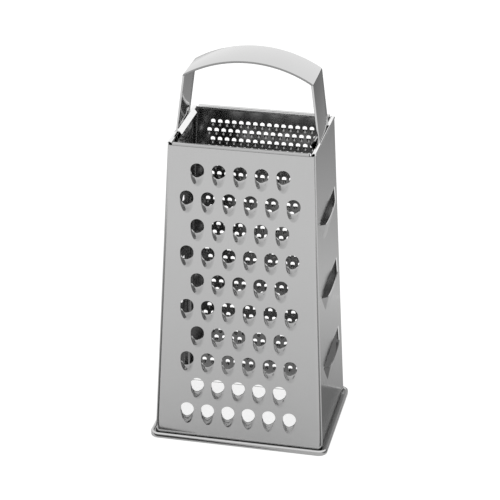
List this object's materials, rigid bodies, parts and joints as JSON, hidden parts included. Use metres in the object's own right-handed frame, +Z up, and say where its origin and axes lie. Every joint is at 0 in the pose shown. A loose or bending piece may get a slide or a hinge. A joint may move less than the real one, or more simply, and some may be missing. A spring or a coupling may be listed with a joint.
{
  "type": "box grater",
  "caption": "Tapered four-sided steel box grater with coarse, medium, fine and slicing sides, a rolled base ring and an arched strip handle.",
  "frame": {"origin": "on the table surface, under the middle of the base ring", "axes": "+Z up through the handle, +X out of the slicing side, -Y out of the coarse side"},
  "size_m": [0.1042, 0.0798, 0.2256],
  "materials": {
    "panel_steel": "satin rolled stainless sheet",
    "handle_steel": "polished stainless strip",
    "ring_steel": "rolled stainless edge"
  },
  "bodies": {
    "root": {"front_panel": "panel_steel", "right_panel": "panel_steel", "back_panel": "panel_steel", "left_panel": "panel_steel", "handle": "handle_steel", "left_handle_clip": "handle_steel", "right_handle_clip": "handle_steel", "base_ring": "ring_steel"}
  },
  "joints": []
}
